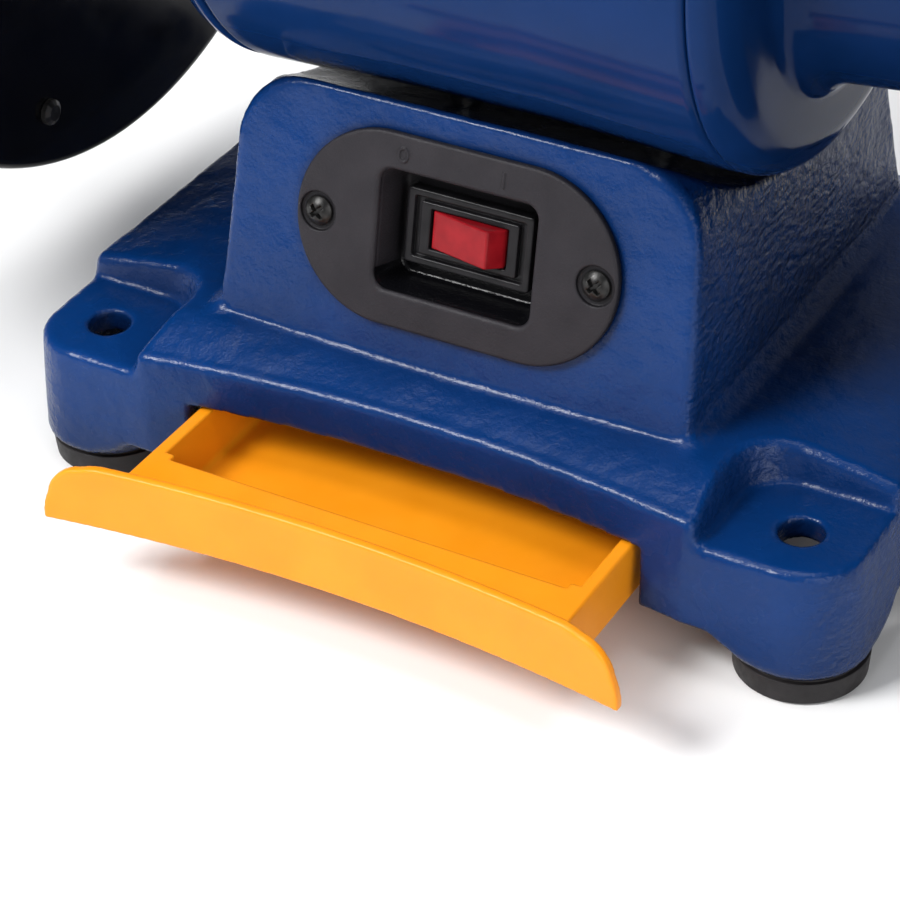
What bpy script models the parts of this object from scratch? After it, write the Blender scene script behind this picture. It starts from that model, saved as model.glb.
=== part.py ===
"""Bench grinder with a pull-out coolant tray: cast base and pedestal, lit rocker switch, motor, two guarded
wheels, tool rests and eye shields.

World frame: +X to the machine's right, +Y to its back, +Z up, floor at z = 0. The constants are in millimetres
and the helpers scale them to metres. Plan sizes are measured from the shaft line, which is AXIS_Y behind the
origin and AXIS_Z above it.
"""

import math

import bmesh
import bpy
from mathutils import Matrix, Vector

MM = 0.001
GAP = 0.3  # clearance between touching pieces
WORLD = Matrix()

# Shaft line
AXIS_Y, AXIS_Z = 25.2, 167.0

# Base casting
FRONT_MID = 79.0  # front edge at the middle
FRONT_RUN, FRONT_SAG = 78.0, 7.2  # half length of the hollow front edge, and how far its ends stand forward
CORNER_X, CORNER_Y, CORNER_R = 98.4, 70.2, 15.4
DECK_Z, CROWN_Z, WALL_BOTTOM_Z, ROOF_Z = 44.0, 48.6, 15.0, 38.0
CROWN_SCALE = (0.615, 0.81)
WALL = 6.0
PAD_X, PAD_Y, PAD_R, PAD_Z = 77.5, 51.4, 13.0, 38.0
HOLE_X, HOLE_Y, HOLE_R = 97.0, 68.85, 5.45
FOOT_X, FOOT_Y, FOOT_R, FOOT_H = 98.4, 69.2, 16.6, 8.0
SEAT_R, SEAT_Z = 9.8, 12.0

# Pedestal
PED_X, PED_Y, PED_Z = 66.0, 65.45, 44.4  # half width, half depth and height of its foot
PED_LOW_Z = 40.0
SIDE_TAPER = 0.06
LEAN = math.radians(12.7)
FACE_SLOPE = math.tan(LEAN)
SHOULDER_X, SHOULDER_H, TOP_H = 38.5, 50.3, 70.4  # shoulder's centre and the top edge, up the leaning face
SADDLE_R, BRIDGE_Z = 73.5, 84.0

# Coolant tray, pulled part of the way out
TRAY_HALF, TRAY_BACK, TRAY_Z0, TRAY_Z1 = 60.8, 8.0, 15.1, 30.9
CAVITY_HALF, CAVITY_FRONT, CAVITY_BACK, CAVITY_FLOOR = 57.3, 104.3, 5.0, 2.2
PANEL_HALF, PANEL_MID_Y, PANEL_SAG = 78.7, 119.2, 6.6
PANEL_Z0, PANEL_Z1, PANEL_ROUND, PANEL_T = 19.2, 36.8, 17.0, 2.6

# Switch, on the leaning front face
PLATE_X, PLATE_H = 0.8, 38.1
PLATE_HALF, PLATE_R, PLATE_T = 43.8, 24.5, 2.0
PLATE_Z0, PLATE_Z1, TUB_Z = GAP, GAP + PLATE_T, -8.9
SCREW_DX = 37.8
WINDOW_X, WINDOW_Y = 21.5, 15.4
BEZEL_X, BEZEL_Y, BEZEL_Z = 17.25, 9.6, PLATE_Z1 - 7.3
INNER_X, INNER_Y = 13.4, 6.7
ROCKER_X, ROCKER_Y = 10.2, 4.8
ROCKER_PIVOT = -1.6  # below the bezel's face

# Motor
BARREL_R, BARREL_END_R, BARREL_HALF = 68.5, 70.1, 64.8
BORE_R, SPIGOT_R = 62.0, 61.6
BELL_END, NECK_R, NECK_END = 75.0, 46.0, 128.0
BEARING_X0, BEARING_X1, BEARING_R, BEARING_BORE = 98.3, 112.0, 20.0, 10.2
CORE_HALF, CORE_BORE_R, ROTOR_R, SHAFT_R = 32.0, 36.2, 35.6, 10.9
MOTOR_BOLT_X, MOTOR_BOLT_R = 28.0, 3.9

# Wheels and guards
GUARD_X0, GUARD_X1, GUARD_R, SHEET = 135.0, 188.0, 115.6, 2.0
COVER_X = GUARD_X1 + GAP + SHEET  # outer face of the guard's cover
WHEEL_X0, WHEEL_X1, WHEEL_R = 145.0, 170.4, 101.6
ARBOR_R, ARBOR_END, FLANGE_R, FLANGE_BORE = 7.9, 186.4, 32.0, 8.2
POST_R, POST_ANGLES = 109.0, (30.0, 105.0, 262.0)
LUG_R, LUG_ANGLE = 99.8, 248.2
MOUTH = ((-160, -14), (-78, -14), (-70, 0), (-66, 30), (-72, 78), (-100, 105), (-160, 105))

# Tool rests and eye shields, in (y, z) from the shaft line
REST_TOP, REST_T, REST_BACK, REST_FRONT = -7.0, 4.0, -104.6, -134.0
REST_X = COVER_X + GAP
LEG = ((-104.6, -7), (-96, -7), (-44, -16), (-44, -38), (-84, -38), (-112, -20), (-134, -11), (-134, -7))
KNOB = (-62.0, -27.0)
KNOB_R, KNOB_LOBES = 14.0, 6
SHIELD_PEG = (-52.0, 84.0)
SHIELD_PIVOT = (-96.0, 118.0)
BRACKET = ((-42, 78), (-42, 92), (-92, 124), (-101, 123), (-101, 113), (-62, 78))

SIDES = (("left", -1), ("right", 1))
ENDS = (("front", -1), ("rear", 1))

# Colour, metallic value and roughness of each kind of material
MATERIALS = {
    "blue_enamel": ((0.012, 0.06, 0.22), 0.0, 0.3),
    "navy_enamel": ((0.006, 0.02, 0.11), 0.0, 0.15),
    "black_enamel": ((0.006, 0.006, 0.007), 0.0, 0.25),
    "yellow_plastic": ((0.95, 0.42, 0.02), 0.0, 0.4),
    "rubber": ((0.02, 0.018, 0.017), 0.0, 0.8),
    "grey_plastic": ((0.055, 0.05, 0.05), 0.0, 0.6),
    "black_plastic": ((0.01, 0.01, 0.011), 0.0, 0.3),
    "red_lens": ((0.5, 0.02, 0.03), 0.0, 0.2),
    "clear_plastic": ((0.8, 0.85, 0.88), 0.0, 0.08),
    "zinc_steel": ((0.5, 0.5, 0.5), 1.0, 0.35),
    "black_steel": ((0.02, 0.02, 0.02), 1.0, 0.4),
    "lamination": ((0.25, 0.25, 0.26), 1.0, 0.5),
    "copper": ((0.6, 0.25, 0.1), 1.0, 0.4),
    "abrasive": ((0.22, 0.22, 0.23), 0.0, 0.95),
}

for found in list(bpy.data.objects):
    bpy.data.objects.remove(found, do_unlink=True)

machine = bpy.data.collections.new("coolant_tray_bench_grinder")
cutters = bpy.data.collections.new("cutters")
for made in (machine, cutters):
    bpy.context.scene.collection.children.link(made)
cutters.hide_render = True


# Helpers -----------------------------------------------------------------------------------------------


def material_for(name, kind):
    colour, metallic, roughness = MATERIALS[kind]
    material = bpy.data.materials.new(name)
    material.use_nodes = True
    shader = material.node_tree.nodes["Principled BSDF"]
    shader.inputs["Base Color"].default_value = (*colour, 1)
    shader.inputs["Metallic"].default_value = metallic
    shader.inputs["Roughness"].default_value = roughness
    return material


def link(name, data, kind, at):
    """A placed object: a part when it has a kind of material, otherwise a cutter."""
    obj = bpy.data.objects.new(name, data)
    obj.matrix_world = Matrix.Translation(at.to_translation() * MM) @ at.to_3x3().to_4x4()
    if kind:
        machine.objects.link(obj)
        data.materials.append(material_for(name, kind))
    else:
        cutters.objects.link(obj)
        obj.hide_render = True
        obj.display_type = "WIRE"
    return obj


def finish_mesh(bm, name):
    """A smooth-shaded mesh with its sharp edges marked, from a bmesh that is closed once welded."""
    bmesh.ops.remove_doubles(bm, verts=bm.verts, dist=0.001 * MM)
    bmesh.ops.recalc_face_normals(bm, faces=bm.faces)
    mesh = bpy.data.meshes.new(name)
    bm.to_mesh(mesh)
    bm.free()
    mesh.shade_smooth()
    mesh.set_sharp_from_angle(angle=math.radians(35))
    return mesh


def evaluated_mesh(obj, shift=0.0):
    """The mesh of a curve, or of an object with modifiers, moved along local Z. The object is removed."""
    graph = bpy.context.evaluated_depsgraph_get()
    raw = bpy.data.meshes.new_from_object(obj.evaluated_get(graph))
    raw.transform(Matrix.Translation((0, 0, shift * MM)))
    name = obj.name
    bpy.data.objects.remove(obj)
    bm = bmesh.new()
    bm.from_mesh(raw)
    bpy.data.meshes.remove(raw)
    return finish_mesh(bm, name)


def box(name, x, y, z, kind=None, at=WORLD):
    """A box between (low, high) on each local axis."""
    low, high = Vector((x[0], y[0], z[0])), Vector((x[1], y[1], z[1]))
    matrix = Matrix.Translation((low + high) / 2 * MM) @ Matrix.Diagonal((*(high - low) * MM, 1))
    bm = bmesh.new()
    bmesh.ops.create_cube(bm, size=1.0, matrix=matrix)
    return link(name, finish_mesh(bm, name), kind, at)


def rod(name, radius, z, sides, kind=None, at=WORLD):
    """A cylinder about local Z between (low, high)."""
    bm = bmesh.new()
    bmesh.ops.create_cone(
        bm,
        cap_ends=True,
        segments=sides,
        radius1=radius * MM,
        radius2=radius * MM,
        depth=(z[1] - z[0]) * MM,
        matrix=Matrix.Translation((0, 0, (z[0] + z[1]) / 2 * MM)),
    )
    return link(name, finish_mesh(bm, name), kind, at)


def turned(name, profile, steps, kind=None, ring=False, sheet=0.0, at=WORLD):
    """A profile of (along, radius) turned about local Z. It closes on the axis, or on itself when it is a ring;
    a sheet's profile stays open and gets that thickness on its inner side."""
    points = [(radius, along) for along, radius in profile]
    if not (ring or sheet):
        points = [(0.0, points[0][1]), *points, (0.0, points[-1][1])]
    area = sum(a[0] * b[1] - b[0] * a[1] for a, b in zip(points, points[1:] + points[:1]))
    if area > 0:  # the outer side has to run from the top to the bottom
        points.reverse()
    edges = [(i, i + 1) for i in range(len(points) - 1)]
    if ring:
        edges.append((len(points) - 1, 0))
    line = bpy.data.meshes.new(name)
    line.from_pydata([(radius * MM, 0, along * MM) for radius, along in points], edges, [])
    source = link(name, line, None, at)
    screw = source.modifiers.new("turn", "SCREW")
    screw.steps = screw.render_steps = steps
    screw.use_merge_vertices = True
    screw.merge_threshold = 0.001 * MM
    if sheet:
        thicken = source.modifiers.new("sheet", "SOLIDIFY")
        thicken.thickness = sheet * MM
        thicken.use_even_offset = True
    return link(name, evaluated_mesh(source), kind, at)


def flat(name, outline, z, kind=None, at=WORLD):
    """A flat outline of (x, y) between (low, high) on local Z."""
    curve = bpy.data.curves.new(name, "CURVE")
    curve.dimensions = "2D"
    curve.fill_mode = "BOTH"
    curve.extrude = (z[1] - z[0]) / 2 * MM
    spline = curve.splines.new("POLY")
    spline.points.add(len(outline) - 1)
    for point, (x, y) in zip(spline.points, outline):
        point.co = (x * MM, y * MM, 0, 1)
    spline.use_cyclic_u = True
    source = link(name, curve, None, at)
    return link(name, evaluated_mesh(source, shift=(z[0] + z[1]) / 2), kind, at)


def loft(name, rings, kind=None, at=WORLD):
    """A skin over unlike sections of equal length, capped at both ends."""
    bm = bmesh.new()
    loops = [[bm.verts.new(Vector(point) * MM) for point in ring] for ring in rings]
    for here, there in zip(loops, loops[1:]):
        for i in range(len(here)):
            j = (i + 1) % len(here)
            bm.faces.new((here[i], here[j], there[j], there[i]))
    bm.faces.new(loops[0])
    bm.faces.new(loops[-1])
    return link(name, finish_mesh(bm, name), kind, at)


def bevel(obj, width, segments=2):
    modifier = obj.modifiers.new("bevel", "BEVEL")
    modifier.width = width * MM
    modifier.segments = segments
    modifier.limit_method = "ANGLE"
    modifier.angle_limit = math.radians(40)
    return obj


def boolean(obj, tools, operation):
    for tool in tools:
        modifier = obj.modifiers.new(tool.name, "BOOLEAN")
        modifier.operation = operation
        modifier.solver = "EXACT"
        modifier.object = tool
    return obj


def cut(obj, *tools):
    return boolean(obj, tools, "DIFFERENCE")


def add(obj, *tools):
    return boolean(obj, tools, "UNION")


def rounded(half_x, half_y, radius, steps=4):
    """A rounded rectangle about the origin, counter-clockwise."""
    points = []
    for turn, (sx, sy) in enumerate(((1, -1), (1, 1), (-1, 1), (-1, -1))):
        for i in range(steps + 1):
            a = math.radians(90 * (turn - 1) + 90 * i / steps)
            x = sx * (half_x - radius) + radius * math.cos(a)
            points.append((x, sy * (half_y - radius) + radius * math.sin(a)))
    return points


def level(outline, z):
    """An outline of (x, y) at one height, as a section for a loft."""
    return [(x, y, z) for x, y in outline]


def polar(radius, degrees):
    a = math.radians(degrees)
    return radius * math.cos(a), radius * math.sin(a)


# Places, all measured from the shaft line ----------------------------------------------------------------


def upright(x=0.0, y=0.0):
    """Local Z up, at floor level."""
    return Matrix.Translation((x, AXIS_Y + y, 0))


def along_x(y=0.0, z=0.0, side=1):
    """Local Z to world X, or to -X on the left side."""
    return Matrix.Translation((0, AXIS_Y + y, AXIS_Z + z)) @ Matrix.Rotation(side * math.pi / 2, 4, "Y")


def on_face(x, h, back=False):
    """Local Z out of the pedestal's leaning face, local Y up it, origin h up from its foot."""
    reach = PED_Y - h * math.sin(LEAN)
    turn = Matrix.Rotation(math.pi / 2 - LEAN, 4, "X")
    if back:
        turn = Matrix.Rotation(math.pi, 4, "Z") @ turn
    return Matrix.Translation((x, AXIS_Y + (reach if back else -reach), PED_Z + h * math.cos(LEAN))) @ turn


SEEN_FROM_SIDE = Matrix(((0, 0, 1, 0), (1, 0, 0, AXIS_Y), (0, 1, 0, AXIS_Z), (0, 0, 0, 1)))
SEEN_FROM_FRONT = Matrix.Translation((0, AXIS_Y, 0)) @ Matrix.Rotation(math.pi / 2, 4, "X")


def across(name, outline, x0, x1, sx, kind=None):
    """A flat outline of (y, z) from the shaft line, between x0 and x1 on the given side."""
    return flat(name, outline, sorted((sx * x0, sx * x1)), kind, SEEN_FROM_SIDE)


# Base casting --------------------------------------------------------------------------------------------


def base_outline(inset, scale=(1.0, 1.0)):
    """The base in plan, its long edges hollow and its corners round."""
    half = []
    for i in range(-4, 5):
        t = i / 4
        half.append((FRONT_RUN * t, -(FRONT_MID + FRONT_SAG * t * t) + inset))
    corner = []
    for i in range(5):
        a = math.radians(-90 + 22.5 * i)
        r = CORNER_R - inset
        corner.append((CORNER_X + r * math.cos(a), -CORNER_Y + r * math.sin(a)))
    half = [(-x, y) for x, y in reversed(corner)] + half + corner
    whole = half + [(x, -y) for x, y in reversed(half)]
    return [(x * scale[0], y * scale[1]) for x, y in whole]


def pedestal_profile(inset):
    """The pedestal seen from the front, as (x, z), from its right foot over the top to its left foot."""
    right = [(PED_X + SIDE_TAPER * (PED_Z - PED_LOW_Z) - inset, PED_LOW_Z)]
    edge_x = PED_X - SIDE_TAPER * SHOULDER_H - inset
    for i in range(7):
        a = math.radians(15 * i)
        h = SHOULDER_H + (TOP_H - inset - SHOULDER_H) * math.sin(a)
        right.append((SHOULDER_X + (edge_x - SHOULDER_X) * math.cos(a), PED_Z + h * math.cos(LEAN)))
    return right + [(-x, z) for x, z in reversed(right)]


def pedestal_section(inset, depth, side):
    """That profile laid on the front (side -1) or back face, depth mm inside it."""
    reach = PED_Y - depth
    return [(x, side * (reach - (z - PED_Z) * FACE_SLOPE), z) for x, z in pedestal_profile(inset)]


def pocket_outline(grow, sx, sy):
    """A corner pocket in plan, open past the two outer walls, its inner corner round."""
    inner_x, inner_y, r = PAD_X - grow, PAD_Y - grow, PAD_R + grow * 0.4
    points = [(130.0, inner_y)]
    for i in range(5):
        a = math.radians(-90 - 22.5 * i)
        points.append((inner_x + r + r * math.cos(a), inner_y + r + r * math.sin(a)))
    points += [(inner_x - 1.5, 112.0), (130.0, 112.0)]
    return [(sx * x, sy * y) for x, y in points]


def hollow_section(z):
    """The inside of the pedestal at one height."""
    half_x = PED_X - WALL - SIDE_TAPER * (z - PED_Z)
    half_y = PED_Y - WALL - FACE_SLOPE * (z - PED_Z)
    return level(rounded(half_x, half_y, 5.0, 2), z)


def switch_section(z):
    """The room behind the front wall, up past the saddle, that the switch takes."""
    front = PED_Y - WALL - 0.4 - FACE_SLOPE * (z - PED_Z)
    return level([(-50, -front), (50, -front), (50, -31), (-50, -31)], z)


def make_base():
    stand = upright()
    base = loft(
        "base_casting",
        [
            level(base_outline(-1.2), WALL_BOTTOM_Z),
            level(base_outline(0.0), DECK_Z - 2.6),
            level(base_outline(0.9), DECK_Z - 0.7),
            level(base_outline(2.8), DECK_Z + 0.1),
            level(base_outline(0.0, CROWN_SCALE), CROWN_Z),
        ],
        "blue_enamel",
        stand,
    )
    cut(base, flat("base_hollow", base_outline(WALL), (-5, 31.5), at=stand))
    for end, sy in ENDS:
        for side, sx in SIDES:
            boss = ((FOOT_H, 15.2), (FOOT_H + 0.9, 16.1), (30, 15.7), (36, 15.0))
            add(base, turned(f"boss_{end}_{side}", boss, 20, at=upright(sx * FOOT_X, sy * FOOT_Y)))

    rounding = ((2.6, 0.0), (0.8, 0.8), (0.0, 2.6))
    sections = [pedestal_section(*each, -1) for each in rounding]
    sections += [pedestal_section(*each, 1) for each in reversed(rounding)]
    add(base, loft("pedestal", sections, at=stand))
    cut(
        base,
        loft("switch_space", [switch_section(60.0), switch_section(125.0)], at=stand),
        loft("pedestal_hollow", [hollow_section(30.0), hollow_section(BRIDGE_Z)], at=stand),
        box("tray_hollow", (-71.5, 71.5), (-72.5, 72.5), (30, ROOF_Z), at=stand),
        box("side_hollow", (-106, 106), (-46, 46), (30, ROOF_Z), at=stand),
        box("tray_mouth", (-63.2, 63.2), (-100, -66), (-5, 31.6), at=stand),
        rod("saddle", SADDLE_R, (-100, 100), 44, at=along_x()),
    )
    for end, sy in ENDS:
        for side, sx in SIDES:
            steps = ((-1.2, 0.0), (-0.2, 1.2), (0.3, 4.8), (1.2, 6.6), (5.0, 9.2))
            rings = [level(pocket_outline(grow, sx, sy), PAD_Z + rise) for grow, rise in steps]
            hole_at = upright(sx * HOLE_X, sy * HOLE_Y)
            seat_at = upright(sx * FOOT_X, sy * FOOT_Y)
            cut(
                base,
                loft(f"pocket_{end}_{side}", rings, at=stand),
                rod(f"hole_{end}_{side}", HOLE_R, (-5, 60), 18, at=hole_at),
                rod(f"seat_{end}_{side}", SEAT_R, (-5, SEAT_Z), 16, at=seat_at),
            )
    face = on_face(PLATE_X, PLATE_H)
    cut(base, flat("switch_window", rounded(24.2, 18.2, 4.0, 2), (-12, 6), at=face))
    for side, sx in SIDES:
        screw_at = face @ Matrix.Translation((sx * SCREW_DX, 0, 0))
        cut(
            base,
            rod(f"plate_screw_hole_{side}", 1.9, (-12, 6), 12, at=screw_at),
            rod(f"motor_bolt_hole_{side}", MOTOR_BOLT_R + 0.4, (78, 98), 16, at=upright(sx * MOTOR_BOLT_X)),
            rod(f"cover_hole_{side}", 1.7, (30, 42), 10, at=cover_screw_place(sx)),
        )
    cut(base, rod("gland_hole", 7.6, (-12, 8), 20, at=gland_place()))


def cover_screw_place(sx):
    return upright(sx * 52.0, -sx * 65.5)


def gland_place():
    return on_face(30.0, 18.0, back=True)


# Underneath: feet, cover plate and tray runners ------------------------------------------------------------


def make_foot(name, at):
    low = FOOT_H - GAP
    profile = ((0, 7), (0, 15.2), (1.2, 16.4), (6.6, FOOT_R), (low, 15.6), (low, 9.4), (11.6, 9.2), (11.6, 7))
    turned(name, profile, 18, "rubber", ring=True, at=at)


def make_underside():
    for end, sy in ENDS:
        for side, sx in SIDES:
            make_foot(f"foot_{end}_{side}", upright(sx * FOOT_X, sy * FOOT_Y))
    plate_z = (ROOF_Z - 1.6, ROOF_Z - GAP)
    cover = box("cover_plate", (-60.6, 60.6), (-70, 70), plate_z, "zinc_steel", upright())
    under = plate_z[0] - GAP
    for side, sx in SIDES:
        at = cover_screw_place(sx)
        cut(cover, rod(f"cover_plate_hole_{side}", 1.9, (30, 40), 10, at=at))
        screw = ((under - 1.2, 2.4), (under - 0.7, 3.2), (under, 3.2), (under, 1.6), (41.5, 1.6))
        turned(f"cover_screw_{side}", screw, 12, "zinc_steel", at=at)
        make_runner(f"tray_runner_{side}", sx, plate_z)


def make_runner(name, sx, plate_z):
    """A folded strip with a ledge under the tray's edge and a flange under the casting's roof."""
    ledge, wall, flange = 53.0, 63.0, 71.0
    z0, t = TRAY_Z0 - 1.5, 1.2
    section = (
        (ledge, z0),
        (wall + t / 2, z0),
        (wall + t / 2, plate_z[0]),
        (flange, plate_z[0]),
        (flange, plate_z[1]),
        (wall - t / 2, plate_z[1]),
        (wall - t / 2, z0 + t),
        (ledge, z0 + t),
    )
    flat(name, [(sx * x, z) for x, z in section], (-52.0, 71.5), "zinc_steel", SEEN_FROM_FRONT)


# Coolant tray ------------------------------------------------------------------------------------------------


def panel_y(x):
    """The panel's outer face ahead of the shaft line, furthest forward at its ends."""
    return PANEL_MID_Y + PANEL_SAG * (x / PANEL_HALF) ** 2


def tray_plan(half, back, front=None):
    """The tray in plan; its front follows the panel from behind, or is straight when front is given."""
    xs = [half * i / 4 for i in range(-4, 5)]
    line = [(x, -(panel_y(x) - PANEL_T / 2 if front is None else front)) for x in xs]
    return line + [(half, back), (-half, back)]


def panel_sections():
    """Sections of the front panel from its left end to its right, lower towards both ends."""
    sections = []
    for i in range(-12, 13):
        x = PANEL_HALF * math.sin(math.pi / 2 * i / 12)
        beyond = max(0.0, (abs(x) - (PANEL_HALF - PANEL_ROUND)) / PANEL_ROUND)
        end_top = PANEL_Z0 + 1.0
        top = end_top + (PANEL_Z1 - end_top) * math.sqrt(max(0.0, 1 - beyond * beyond))
        y = -panel_y(x)
        sections.append([(x, y, PANEL_Z0), (x, y + PANEL_T, PANEL_Z0), (x, y + PANEL_T, top), (x, y, top)])
    return sections


def make_tray():
    at = upright()
    rim = TRAY_Z1 - 3.0
    tray = loft(
        "coolant_tray",
        [
            level(tray_plan(TRAY_HALF - 1.2, TRAY_BACK - 0.6), TRAY_Z0),
            level(tray_plan(TRAY_HALF - 0.9, TRAY_BACK - 0.1), rim),
            level(tray_plan(TRAY_HALF, TRAY_BACK), rim + 0.1),
            level(tray_plan(TRAY_HALF, TRAY_BACK), TRAY_Z1),
        ],
        "yellow_plastic",
        at,
    )
    floor_z = TRAY_Z0 + CAVITY_FLOOR
    floor_plan = tray_plan(CAVITY_HALF - 1.2, CAVITY_BACK - 0.4, CAVITY_FRONT - 0.6)
    mouth_plan = tray_plan(CAVITY_HALF, CAVITY_BACK, CAVITY_FRONT)
    front_wall_y = -CAVITY_FRONT - 2.5
    cut(tray, box("tray_front_step", (-70, 70), (-140, front_wall_y), (10, PANEL_Z0), at=at))
    add(tray, loft("tray_panel", panel_sections(), at=at))
    cut(
        tray,
        loft("tray_cavity", [level(floor_plan, floor_z), level(mouth_plan, TRAY_Z1 + 6)], at=at),
        box("tray_front_hollow", (-54, 54), (-115.2, front_wall_y), (10, TRAY_Z1 - 2.5), at=at),
    )


# Switch ------------------------------------------------------------------------------------------------------


def make_plate_screw(side, sx, plate, face):
    at = face @ Matrix.Translation((sx * SCREW_DX, 0, 0))
    seat = PLATE_Z1 - 1.1
    cut(
        plate,
        rod(f"plate_counterbore_{side}", 4.95, (seat, 6), 20, at=at),
        rod(f"plate_hole_{side}", 2.1, (-4, 6), 12, at=at),
    )
    low = seat + GAP
    profile = ((-7, 1.6), (low, 1.6), (low, 3.9), (low + 0.9, 3.8), (low + 1.7, 2.6), (low + 1.9, 1.2))
    screw = turned(f"plate_screw_{side}", profile, 16, "black_steel", at=at)
    for turn in (45, 135):
        arm_at = at @ Matrix.Rotation(math.radians(turn), 4, "Z")
        arm = box(f"cross_{side}_{turn}", (-2.3, 2.3), (-0.45, 0.45), (low + 0.9, low + 4), at=arm_at)
        cut(screw, arm)


def make_switch():
    face = on_face(PLATE_X, PLATE_H)
    plate_outline = rounded(PLATE_HALF, PLATE_R, PLATE_R - 0.1, 6)
    plate = flat("switch_plate", plate_outline, (PLATE_Z0, PLATE_Z1), "grey_plastic", face)
    bevel(plate, 0.6, 1)
    add(plate, flat("plate_tub", rounded(23.6, 17.6, 4.0), (TUB_Z - 1.6, PLATE_Z0 + 1), at=face))
    recess_floor = level(rounded(WINDOW_X - 1.8, WINDOW_Y - 1.8, 2.4), TUB_Z)
    recess_mouth = level(rounded(WINDOW_X, WINDOW_Y, 3.5), PLATE_Z1 + 0.6)
    cut(
        plate,
        loft("plate_recess", [recess_floor, recess_mouth], at=face),
        flat("housing_hole", rounded(15.2, 8.2, 0.8, 2), (-20, 4), at=face),
    )
    for side, sx in SIDES:
        make_plate_screw(side, sx, plate, face)

    flange_z = (TUB_Z + GAP, BEZEL_Z)
    housing = flat("switch_housing", rounded(BEZEL_X, BEZEL_Y, 1.0, 2), flange_z, "black_plastic", face)
    bevel(housing, 0.4, 1)
    add(housing, flat("switch_body", rounded(14.8, 7.8, 0.8, 2), (-26, flange_z[0] + 1), at=face))
    trench = flat("bezel_trench", rounded(BEZEL_X - 2, BEZEL_Y - 1.9, 0.6, 2), (BEZEL_Z - 1.6, 3), at=face)
    cut(trench, flat("trench_core", rounded(INNER_X, INNER_Y, 0.5, 2), (-12, 6), at=face))
    well = box(
        "rocker_well",
        (-ROCKER_X - 0.4, ROCKER_X + 0.4),
        (-ROCKER_Y - GAP, ROCKER_Y + GAP),
        (BEZEL_Z - 8, 4),
        at=face,
    )
    cut(housing, trench, well)

    # The rocker's outline is seen along the face, from its pivot
    outline = ((-9.9, -3.0), (0.0, -4.8), (9.9, -3.0), (10.0, 1.4), (7.0, 5.4), (-9.9, 1.2))
    pivot = face @ Matrix.Translation((0, 0, BEZEL_Z + ROCKER_PIVOT)) @ Matrix.Rotation(math.pi / 2, 4, "X")
    flat("rocker", outline, (-ROCKER_Y, ROCKER_Y), "red_lens", pivot)


# Motor -------------------------------------------------------------------------------------------------------


def make_barrel():
    half = ((20, BARREL_R), (BARREL_HALF - 0.6, BARREL_END_R), (BARREL_HALF, BARREL_END_R - 0.5))
    profile = [(-along, radius) for along, radius in reversed(half)] + list(half)
    barrel = turned("motor_housing", profile, 40, "navy_enamel", at=along_x())
    pad = rod("saddle_pad", SADDLE_R - GAP, (-38, 38), 44, at=along_x())
    limit = box("pad_limit", (-50, 50), (-23, 23), (80, 130), at=upright())
    boolean(pad, [limit], "INTERSECT")
    add(barrel, pad)
    cut(barrel, rod("stator_bore", BORE_R, (-90, 90), 40, at=along_x()))
    for side, sx in SIDES:
        at = upright(sx * MOTOR_BOLT_X)
        cut(barrel, rod(f"bolt_thread_{side}", MOTOR_BOLT_R + GAP, (80, 101.5), 16, at=at))
        head = rod(f"motor_bolt_{side}", 7.5, (78, BRIDGE_Z - GAP), 6, "zinc_steel", at)
        add(head, rod(f"motor_bolt_shank_{side}", MOTOR_BOLT_R, (80, 100.5), 16, at=at))


def make_end_bell(side, sx):
    outer = BARREL_END_R
    profile = (
        (60.0, SPIGOT_R),
        (BARREL_HALF + GAP, SPIGOT_R),
        (BARREL_HALF + GAP, outer - 0.4),
        (BARREL_HALF + 1.0, outer),
        (69.6, outer - 1.1),
        (72.6, outer - 3.5),
        (74.4, outer - 6.9),
        (BELL_END, 59.0),
        (BELL_END, 50.0),
        (77.0, NECK_R + 0.6),
        (82.0, NECK_R - 1.0),
        (NECK_END - 4, NECK_R - 4.5),
        (NECK_END, 50.0),
        (GUARD_X0 - GAP, 50.0),
        (GUARD_X0 - GAP, 12.5),
        (BEARING_X1 + 0.4, 12.5),
        (BEARING_X1 + 0.4, BEARING_R + GAP),
        (BEARING_X0 - GAP, BEARING_R + GAP),
        (94.0, 32.0),
        (72.0, 40.0),
        (69.0, 57.0),
        (60.0, 57.0),
    )
    turned(f"end_bell_{side}", profile, 28, "navy_enamel", ring=True, at=along_x(side=sx))


def make_bearing(side, sx):
    x0, x1, r = BEARING_X0, BEARING_X1, BEARING_R
    profile = ((x0, BEARING_BORE), (x0, r - 0.5), (x0 + 0.5, r), (x1 - 0.5, r), (x1, r - 0.5), (x1, BEARING_BORE))
    turned(f"bearing_{side}", profile, 20, "zinc_steel", ring=True, at=along_x(side=sx))


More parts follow.
